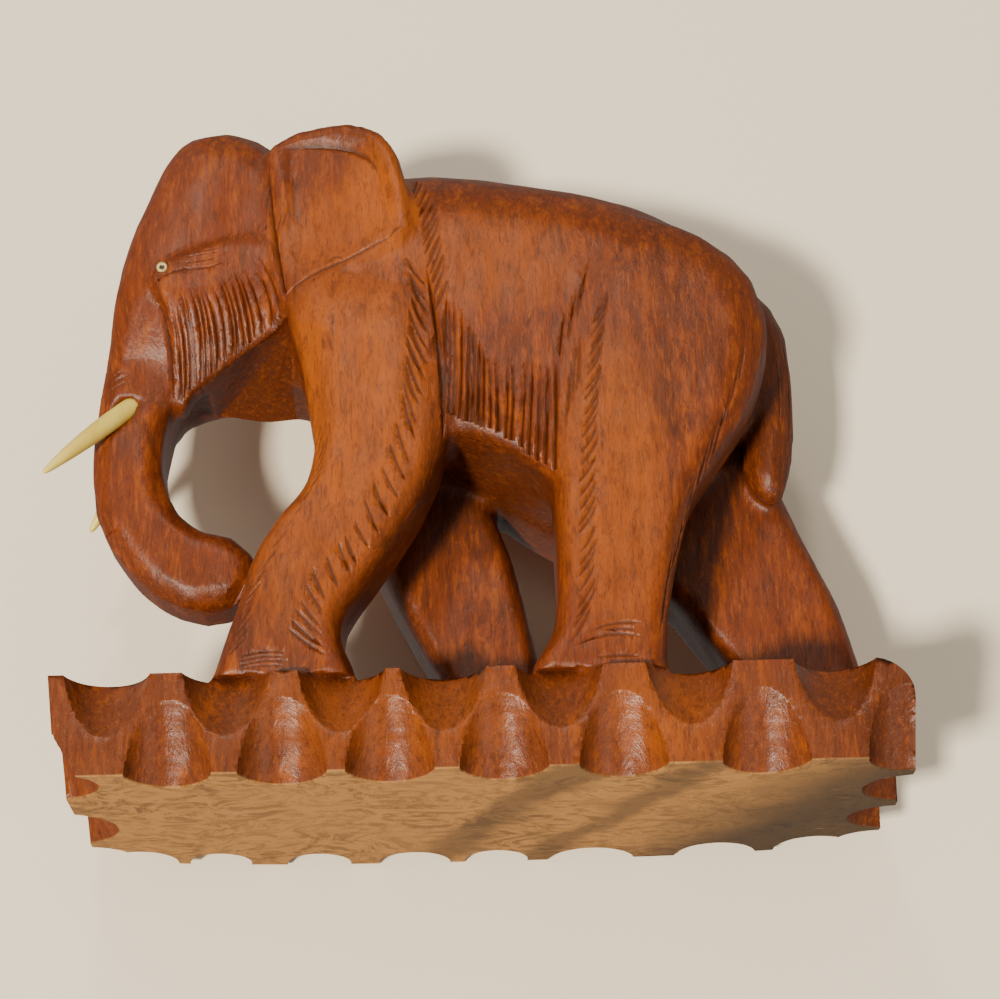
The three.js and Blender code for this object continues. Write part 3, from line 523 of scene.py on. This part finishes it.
def cutStrokes(piece, surface, paths, side, tool, seed):
    chance = random.Random(seed)
    bar = vBar()
    cuts = []
    for path in paths:
        scale = chance.uniform(0.8, 1.15)
        cut = strokeCut(bar, surface, smoothPath(path, stroke["stations"]), side, tool["width"] * scale,
                        tool["depth"] * scale, tool.get("opens", False), -side * tool.get("lean", 0))
        if cut is not None:
            cuts.append(cut)
    bpy.data.objects.remove(bar)
    for half in (cuts[::2], cuts[1::2]):   # neighbours go in turn, so that no two of one batch cross
        if half:
            combine(piece, joinAll(half, "strokes"), 'DIFFERENCE')


def combPaths(comb, seed):
    chance = random.Random(seed)
    paths = []
    for number in range(comb["count"]):
        share = (number + chance.uniform(-0.18, 0.18)) / (comb["count"] - 1)
        share = min(max(share, 0), 1)
        top = along(comb["tops"], share) + [chance.uniform(-0.5, 0.5), chance.uniform(-1.2, 1.2)]
        end = along(comb["ends"], share) + [chance.uniform(-0.4, 0.4), chance.uniform(-0.6, 0.6)]
        if comb.get("opens"):
            end = end + (end - top) * 0.05
        middle = (top + end) / 2 + [comb["bow"] * chance.uniform(0.6, 1.4), 0]
        paths.append([top, middle, end])
    return paths


def carveDetail(piece):
    surface = surfaceOf(piece)
    seed = 20
    for side in (-1, 1):
        sideCombs = combs if side < 0 else {**combs, **rightCombs}
        for name, comb in sideCombs.items():
            seed += 1
            if side < 0 or name not in ("shin", "groin", "groinLow"):
                cutStrokes(piece, surface, combPaths(comb, seed), side, comb, seed)
        for name, line in lines.items():
            seed += 1
            if side < 0 or name not in ("foreAnkle", "hindAnkle"):
                cutStrokes(piece, surface, line["paths"], side, line, seed)
        print("strokes cut on side", side, "-", len(piece.data.polygons), "faces")
    for name, line in freeLines.items():
        seed += 1
        cutStrokes(piece, surface, line["paths"], 0, line, seed)
    return surface


def keepAttribute(piece, name, values):
    attribute = piece.data.attributes.new(name, 'FLOAT', 'POINT')
    attribute.data.foreach_set("value", np.asarray(values, np.float32))


# rays and reach test how shut in each point is, which is painted as shade; grooveDepth scales the stain in the grooves
recess = {"rays": 9, "reach": 14.0, "grooveDepth": 0.7}


def markRecesses(piece, uncut):
    # how deep each point lies below the uncut skin, where the stain gathers in the grooves, and how shut in it is by
    # nearby wood, which is painted darker as shade
    grooves = []
    occlusionShade = []
    surface = surfaceOf(piece)
    chance = random.Random(5)
    spread = [Vector((chance.gauss(0, 1), chance.gauss(0, 1), chance.gauss(0, 1))).normalized()
              for _ in range(recess["rays"])]
    reach = recess["reach"] * mm
    for vertex in piece.data.vertices:
        nearest = uncut.find_nearest(vertex.co)
        grooves.append(min(nearest[3] / (recess["grooveDepth"] * mm), 1))
        start = vertex.co + vertex.normal * 0.0003
        blocked = 0.0
        for ray in spread:
            direction = (vertex.normal * 1.05 + ray).normalized()
            distance = surface.ray_cast(start, direction, reach)[3]
            if distance is not None:
                blocked += 1 - distance / reach
        occlusionShade.append(blocked / len(spread))
    keepAttribute(piece, "groove", grooves)
    keepAttribute(piece, "occlusionShade", occlusionShade)
    print("recesses marked")


# ---- tusks and eyes

tusk = {"subdivisions": 2, "regain": 0.12}


def addTusk(nodeName, name):
    piece = copyNode(nodeName, name)
    applyModifier(piece, 'SUBSURF', levels=tusk["subdivisions"], render_levels=tusk["subdivisions"])
    edit(piece)
    bpy.ops.transform.shrink_fatten(value=tusk["regain"] * mm)
    bpy.ops.object.mode_set(mode='OBJECT')
    pick(piece)
    bpy.ops.object.shade_smooth()
    return piece


eye = {"edge": 0.35, "segments": 3}


def addEye(nodeName, name):
    piece = copyNode(nodeName, name)
    applyModifier(piece, 'BEVEL', width=eye["edge"] * mm, segments=eye["segments"], limit_method='ANGLE',
                  angle_limit=math.radians(35))
    pick(piece)
    bpy.ops.object.shade_smooth_by_angle(angle=math.radians(40))
    return piece


# ---- shader maths

class Field:
    def __init__(self, maker, socket):
        self.maker = maker
        self.socket = socket

    def maths(self, operation, *values):
        inputs = {i: value for i, value in enumerate(values)}
        return self.maker.add('ShaderNodeMath', {"operation": operation}, inputs)

    def __add__(self, other): return self.maths('ADD', self, other)
    def __radd__(self, other): return self.maths('ADD', other, self)
    def __sub__(self, other): return self.maths('SUBTRACT', self, other)
    def __rsub__(self, other): return self.maths('SUBTRACT', other, self)
    def __mul__(self, other): return self.maths('MULTIPLY', self, other)
    def __rmul__(self, other): return self.maths('MULTIPLY', other, self)
    def __truediv__(self, other): return self.maths('DIVIDE', self, other)
    def __pow__(self, other): return self.maths('POWER', self, other)
    def __abs__(self): return self.maths('ABSOLUTE', self)

    def between(self, low, high):
        return self.maker.add('ShaderNodeMapRange', {"interpolation_type": 'SMOOTHSTEP'},
                              {"Value": self, "From Min": low, "From Max": high})

    def greatest(self, other): return self.maths('MAXIMUM', self, other)
    def least(self, other): return self.maths('MINIMUM', self, other)


class Maker:
    def __init__(self, name):
        self.material = bpy.data.materials.new(name)
        self.material.use_nodes = True
        self.tree = self.material.node_tree
        self.tree.nodes.clear()

    def add(self, kind, settings=None, inputs=None, output=0):
        node = self.tree.nodes.new(kind)
        for key, value in (settings or {}).items():
            if key == "stops":
                ramp = node.color_ramp
                while len(ramp.elements) > 1:
                    ramp.elements.remove(ramp.elements[0])
                for number, (place, colour) in enumerate(value):
                    stop = ramp.elements[0] if number == 0 else ramp.elements.new(place)
                    stop.position = place
                    stop.color = (*colour, 1)
            else:
                setattr(node, key, value)
        for key, value in (inputs or {}).items():
            if isinstance(value, Field):
                self.tree.links.new(value.socket, node.inputs[key])
            else:
                node.inputs[key].default_value = value
        return Field(self, node.outputs[output]) if node.outputs else None

    def place(self):
        return self.add('ShaderNodeTexCoord', output=3)

    def axes(self):
        split = self.add('ShaderNodeSeparateXYZ', inputs={0: self.place()})
        return [Field(self, output) for output in split.socket.node.outputs]

    def attribute(self, name):
        return self.add('ShaderNodeAttribute', {"attribute_name": name}, output=2)

    def noise(self, scale, stretch=(1, 1, 1), detail=3, roughness=0.5, shift=(0, 0, 0), warp=0.0):
        mapped = self.add('ShaderNodeMapping', inputs={"Vector": self.place(), "Location": shift, "Scale": stretch})
        return self.add('ShaderNodeTexNoise', inputs={"Vector": mapped, "Scale": scale, "Detail": detail,
                                                      "Roughness": roughness, "Distortion": warp})

    def blend(self, share, first, second):
        wrap = lambda colour: colour if isinstance(colour, Field) else (*colour, 1)
        return self.add('ShaderNodeMix', {"data_type": 'RGBA'}, {0: share, 6: wrap(first), 7: wrap(second)}, output=2)

    def patch(self, centre, radii, soft=0.5):
        # soft ellipsoid round a point, the same on both sides of the elephant
        x, y, z = self.axes()
        across = (abs(y) - abs(centre[1]) * mm) * (1 / (radii[1] * mm))
        far = ((x - centre[0] * mm) * (1 / (radii[0] * mm))) ** 2 + across ** 2 \
            + ((z - centre[2] * mm) * (1 / (radii[2] * mm))) ** 2
        return 1 - far.between(1 - soft, 1 + soft)

    def patches(self, listed):
        reach = None
        for centre, radii, strength in listed:
            here = self.patch(centre, radii, 0.75) * strength
            reach = here if reach is None else reach.greatest(here)
        return reach

    def finish(self, colour, roughness, normal=None, **constants):
        inputs = {"Base Color": colour if isinstance(colour, Field) else (*colour, 1), "Roughness": roughness}
        if normal is not None:
            inputs["Normal"] = normal
        inputs.update({key.replace("_", " ").title().replace("Ior", "IOR"): value for key, value in constants.items()})
        shader = self.add('ShaderNodeBsdfPrincipled', inputs=inputs)
        self.add('ShaderNodeOutputMaterial', inputs={"Surface": shader})
        return self.material


# ---- finishes

wood = {
    "red": (0.148, 0.026, 0.0030),
    "brown": (0.085, 0.018, 0.0035),
    "amber": (0.310, 0.068, 0.0010),
    "dusty": (0.150, 0.038, 0.0110),
    # dark stain tone, used for the grain hairs and the groove stain, and also as painted shade in shut-in recesses
    "stainAndShade": (0.026, 0.007, 0.0030),
    "pore": (0.028, 0.008, 0.0035),
    "fleck": (0.34, 0.12, 0.030),
    "dust": (0.34, 0.20, 0.10),
    "bare": (0.370, 0.175, 0.046),
    "bareDark": (0.175, 0.082, 0.024),
    "bareGrey": (0.045, 0.029, 0.018),
}

# centre, radii and strength of the places where the stain is thin and golden
amberPatches = [
    ((-34, 46, 234), (16, 20, 30), 0.95),
    ((-54, 44, 222), (26, 20, 22), 0.60),
    ((-48, 49, 150), (30, 20, 60), 0.85),
    ((-62, 49, 95), (26, 20, 40), 0.60),
    ((50, 49, 112), (20, 20, 60), 0.70),
    ((5, 46, 208), (40, 20, 22), 0.50),
    ((62, 56, 20), (18, 16, 22), 0.60),
    ((-35, 56, 22), (46, 16, 20), 0.45),
]

# and where it turns darker brown
brownPatches = [
    ((-88, 10, 168), (28, 30, 22), 0.85),
    ((112, 45, 205), (60, 60, 60), 0.45),
    ((125, 0, 160), (22, 14, 48), 0.75),
    ((10, 0, 122), (60, 36, 16), 0.60),
    ((-112, 0, 78), (30, 30, 18), 0.45),
    ((0, 30, 262), (120, 30, 16), 0.30),
    ((146, 20, 18), (24, 70, 26), 0.95),
]


def varnishedWood():
    make = Maker("varnishedWood")
    x, y, z = make.axes()
    low = 1 - z.between(0.030, 0.044)
    broad = make.noise(16, stretch=(1, 1, 0.6), detail=3)
    streak = make.noise(150, stretch=(1, 1, 0.12), detail=4, roughness=0.6, warp=0.4)
    mottle = make.noise(130, stretch=(1, 1, 0.45), detail=6, roughness=0.72, shift=(3, 1, 2), warp=0.8)
    fibre = make.noise(1500, stretch=(1, 1, 0.17), detail=2, roughness=0.6)
    tone = broad * 0.40 + streak * 0.30 + mottle * 0.60
    colour = make.blend(tone.between(0.50, 0.72), wood["brown"], wood["red"])
    colour = make.blend(low * (0.2 + mottle * 0.9), colour, wood["dusty"])
    amber = make.patches(amberPatches) * (mottle * 1.7 + streak * 0.9 - 0.45)
    amber = amber.greatest((mottle * streak).between(0.26, 0.38) * 0.55).least(1).greatest(0)
    colour = make.blend(amber, colour, wood["amber"])
    colour = make.blend((make.patches(brownPatches) * (mottle + 0.35)).least(1), colour, wood["brown"])
    blotch = make.noise(230, stretch=(1, 1, 0.4), detail=5, roughness=0.75, shift=(9, 4, 2), warp=0.6)
    colour = make.blend(blotch.between(0.50, 0.34) * 0.55, colour, wood["brown"])
    hairs = make.noise(620, stretch=(1, 1, 0.14), detail=4, roughness=0.7, shift=(6, 2, 9), warp=0.5)
    colour = make.blend(hairs.between(0.52, 0.66) * 0.38, colour, wood["amber"])
    colour = make.blend(hairs.between(0.46, 0.34) * 0.40, colour, wood["stainAndShade"])
    colour = make.blend(fibre.between(0.44, 0.32) * 0.35, colour, wood["pore"])
    flecks = make.noise(1300, stretch=(1, 1, 0.22), detail=2, shift=(7, 5, 1)).between(0.64, 0.74) * 0.22
    colour = make.blend(flecks, colour, wood["fleck"])
    groove = make.attribute("groove")
    occlusionShade = make.attribute("occlusionShade")
    # stain in the grooves, plus painted shade where the wood is shut in by nearby parts
    stainAndShadeMask = (groove.between(0.1, 0.9) * 0.62 + occlusionShade.between(0.12, 0.75) * 0.50).least(0.85)
    colour = make.blend(stainAndShadeMask, colour, wood["stainAndShade"])
    dust = make.noise(800, detail=3, roughness=0.7, shift=(1, 8, 3)).between(0.60, 0.72) * low * 0.22
    colour = make.blend(dust, colour, wood["dust"])
    # the underside was never stained or varnished
    under = 1 - z.between(0.0002, 0.0009)
    scribble = make.noise(60, stretch=(0.7, 1, 1), detail=9, roughness=0.78, warp=3.5, shift=(2, 2, 0))
    bare = make.blend(scribble.between(0.42, 0.55), wood["bareDark"], wood["bare"])
    bare = make.blend(make.noise(24, detail=4, shift=(5, 2, 0)).between(0.35, 0.7) * 0.5, bare, wood["bare"])
    slant = x + y * 0.5 + (make.noise(30, detail=3, shift=(4, 1, 0)) - 0.5) * 0.03
    grey = (1 - abs(slant - 0.010).between(0.004, 0.016)).greatest(1 - abs(slant - 0.052).between(0.002, 0.012))
    grey = (grey * 0.60).greatest(slant.between(0.065, 0.130)) * (scribble + 0.40)
    bare = make.blend(grey.least(1), bare, wood["bareGrey"])
    scratch = make.noise(420, stretch=(0.12, 1, 1), detail=2, shift=(1, 6, 0), warp=0.3).between(0.70, 0.75) * 0.55
    bare = make.blend(scratch, bare, wood["dust"])
    colour = make.blend(under, colour, bare)
    roughness = 0.29 + mottle * 0.18 + groove * 0.08 - low * 0.08 + under * 0.40
    grain = make.add('ShaderNodeBump', inputs={"Strength": 0.30, "Distance": 0.0004, "Height": fibre * 0.5 + streak * 0.5})
    knife = make.add('ShaderNodeBump', inputs={"Strength": 0.40, "Distance": 0.0013, "Height": mottle, "Normal": grain})
    return make.finish(colour, roughness, knife, specular_ior_level=0.32)


def tuskResin():
    make = Maker("tuskResin")
    cloud = make.noise(120, stretch=(1, 1, 0.5), detail=3)
    colour = make.blend(cloud.between(0.3, 0.7), (0.62, 0.46, 0.070), (0.72, 0.57, 0.120))
    bump = make.add('ShaderNodeBump', inputs={"Strength": 0.12, "Distance": 0.0004, "Height": make.noise(300, detail=3)})
    return make.finish(colour, 0.34 + cloud * 0.1, bump, subsurface_weight=0.0)


def eyeResin():
    make = Maker("eyeResin")
    x, y, z = make.axes()
    off = ((x + 0.1205) ** 2 + (z - 0.2119) ** 2) ** 0.5
    pupil = 1 - off.between(0.00095, 0.00130)
    ring = off.between(0.00175, 0.00215)
    colour = make.blend(make.noise(600, detail=2), (0.42, 0.32, 0.10), (0.58, 0.48, 0.20))
    colour = make.blend((ring * 0.55).greatest(pupil * 0.96), colour, (0.03, 0.016, 0.01))
    return make.finish(colour, 0.25 + pupil * 0.2)


# ---- stage

stage = {
    "backdropAt": 72.0,
    "size": 6.0,                     # metres
    "tone": (0.86, 0.775, 0.630),
    "skyTone": (1.0, 0.93, 0.84),
    "skyStrength": 0.34,
}

# towards: direction from the carving; far and size in metres; power in watts
lamps = {
    "key": {"towards": (-0.45, -1.0, -0.50), "far": 5.0, "size": 0.50, "power": 430.0, "tone": (1.0, 0.90, 0.74)},
    "downlight": {"towards": (-0.10, -0.851, 0.552), "far": 1.70, "size": 0.16, "power": 5.5, "tone": (1.0, 0.91, 0.76)},
    "front": {"towards": (0.05, -1.0, 0.35), "far": 1.60, "size": 0.90, "power": 1.6, "tone": (1.0, 0.92, 0.80)},
    "lowRight": {"towards": (1.2, -1.0, -1.0), "far": 1.50, "size": 0.60, "power": 2.8, "tone": (1.0, 0.92, 0.80)},
    "behind": {"towards": (0.35, 1.0, 0.55), "far": 1.80, "size": 1.00, "power": 9.0, "tone": (1.0, 0.92, 0.80), "matt": True},
    "highLeft": {"towards": (-1.2, -1.0, 1.6), "far": 1.50, "size": 0.60, "power": 1.8, "tone": (1.0, 0.92, 0.80)},
}


def stageMaterial(name):
    # seen from its front only, so that the object can be looked at from behind it
    make = Maker(name)
    shader = make.add('ShaderNodeBsdfPrincipled', inputs={"Base Color": (*stage["tone"], 1), "Roughness": 0.45})
    clear = make.add('ShaderNodeBsdfTransparent')
    behind = make.add('ShaderNodeNewGeometry', output=6)
    both = make.add('ShaderNodeMixShader', inputs={0: behind, 1: shader, 2: clear})
    make.add('ShaderNodeOutputMaterial', inputs={"Surface": both})
    return make.material


def addStage():
    deselectAll()
    bpy.ops.mesh.primitive_plane_add(size=stage["size"], location=(0, 0, 0))
    backdrop = bpy.context.object
    backdrop.name = "backdrop"
    backdrop.data.transform(Matrix.Translation((0, stage["backdropAt"] * mm, 0)) @ Matrix.Rotation(math.radians(90), 4, 'X'))
    backdrop.data.materials.append(stageMaterial("paleBackdrop"))
    backdrop.visible_shadow = False
    backdrop.visible_glossy = False
    deselectAll()
    bpy.ops.mesh.primitive_plane_add(size=stage["size"], location=(0, 0, 0))
    floor = bpy.context.object
    floor.name = "floor"
    floor.data.transform(Matrix.Translation((0, 0, -0.0004)))
    floor.data.materials.append(stageMaterial("paleFloor"))
    floor.visible_shadow = False
    floor.visible_diffuse = False
    floor.visible_glossy = False
    aim = Vector((0, 0, 0.12))
    for name, settings in lamps.items():
        place = aim + Vector(settings["towards"]).normalized() * settings["far"]
        bpy.ops.object.light_add(type='AREA', location=place)
        lamp = bpy.context.object
        lamp.name = name
        lamp.rotation_euler = (aim - place).to_track_quat('-Z', 'Y').to_euler()
        lamp.data.size = settings["size"]
        lamp.data.energy = settings["power"]
        lamp.data.color = settings["tone"]
        lamp.visible_glossy = not settings.get("matt", False)   # a matt lamp leaves no shine
    sky = bpy.data.worlds.new("paleRoom")
    sky.use_nodes = True
    sky.node_tree.nodes["Background"].inputs["Color"].default_value = (*stage["skyTone"], 1)
    sky.node_tree.nodes["Background"].inputs["Strength"].default_value = stage["skyStrength"]
    bpy.context.scene.world = sky
    print("stage set")


# ---- putting it together

carved = roundFigure()
cutFlats(carved)
addBase(carved)
uncutSkin = carveDetail(carved)
markRecesses(carved, uncutSkin)
pick(carved)
bpy.ops.object.shade_smooth_by_angle(angle=math.radians(32))
applyModifier(carved, 'WEIGHTED_NORMAL', weight=60, keep_sharp=True)
carved.data.materials.clear()
carved.data.materials.append(varnishedWood())
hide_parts("elephant_and_base")
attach(carved, "root")

resin = tuskResin()
for nodeName in ("tusk_left", "tusk_right"):
    piece = addTusk(nodeName, nodeName + "_polished")
    piece.data.materials.append(resin)
    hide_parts(nodeName)
    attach(piece, "root")

bead = eyeResin()
for nodeName in ("eye_left", "eye_right"):
    piece = addEye(nodeName, nodeName + "_polished")
    piece.data.materials.append(bead)
    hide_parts(nodeName)
    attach(piece, "root")
print("tusks and eyes placed")

addStage()
